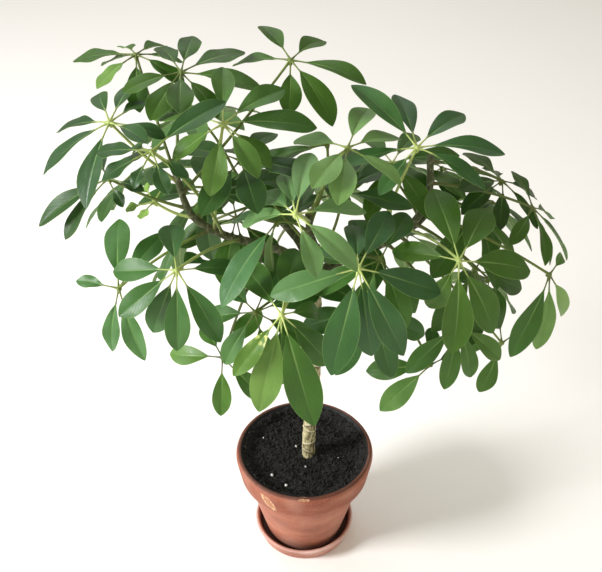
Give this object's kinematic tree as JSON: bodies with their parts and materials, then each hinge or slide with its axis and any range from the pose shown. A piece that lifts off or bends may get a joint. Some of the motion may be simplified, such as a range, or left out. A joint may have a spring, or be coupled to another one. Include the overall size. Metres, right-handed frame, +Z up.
{
  "type": "potted umbrella plant",
  "caption": "Bushy dwarf umbrella plant with palmate leaves on a woody stem, in a round terracotta pot with a rolled collar, standing in a terracotta saucer.",
  "frame": {"origin": "middle of the saucer's underside, on the pot's axis", "axes": "+Z up, along the pot's axis; the plant's fullest side faces -Y and its widest spread runs along X"},
  "size_m": [0.4206, 0.2914, 0.4788],
  "materials": {
    "terracotta_pot": "unglazed fired clay, thrown and smoothed, with pale mineral bloom",
    "terracotta_saucer": "unglazed fired clay, slightly darker and water-marked",
    "potting_soil": "dark, crumbly peat compost with a few white grains",
    "bark": "pale tan bark with leaf scars, greener towards the crown",
    "leaf": "thick, waxy green leaflets on light green stalks"
  },
  "bodies": {
    "root": {"saucer": "terracotta_saucer", "pot": "terracotta_pot", "soil": "potting_soil", "trunk": "bark", "leaf_front_01": "leaf", "leaf_front_02": "leaf", "leaf_front_03": "leaf", "leaf_front_04": "leaf", "leaf_front_05": "leaf", "leaf_front_06": "leaf", "leaf_right_01": "leaf", "leaf_right_02": "leaf", "leaf_right_03": "leaf", "leaf_right_04": "leaf", "leaf_right_05": "leaf", "leaf_right_06": "leaf", "leaf_right_07": "leaf", "leaf_right_08": "leaf", "leaf_right_09": "leaf", "leaf_right_10": "leaf", "leaf_right_11": "leaf", "leaf_left_01": "leaf", "leaf_left_02": "leaf", "leaf_left_03": "leaf", "leaf_left_04": "leaf", "leaf_left_05": "leaf", "leaf_left_06": "leaf", "leaf_left_07": "leaf", "leaf_left_08": "leaf", "leaf_left_09": "leaf", "leaf_left_10": "leaf", "leaf_left_11": "leaf", "leaf_left_12": "leaf", "leaf_back_01": "leaf", "leaf_back_02": "leaf", "leaf_back_03": "leaf", "leaf_back_04": "leaf", "leaf_back_05": "leaf", "leaf_back_06": "leaf", "leaf_rear_01": "leaf", "leaf_rear_02": "leaf", "leaf_rear_03": "leaf", "leaf_rear_04": "leaf", "leaf_rear_05": "leaf", "leaf_trunk_01": "leaf", "leaf_trunk_02": "leaf", "leaf_trunk_03": "leaf", "leaf_trunk_04": "leaf", "leaf_trunk_05": "leaf", "leaf_trunk_06": "leaf"}
  },
  "joints": []
}
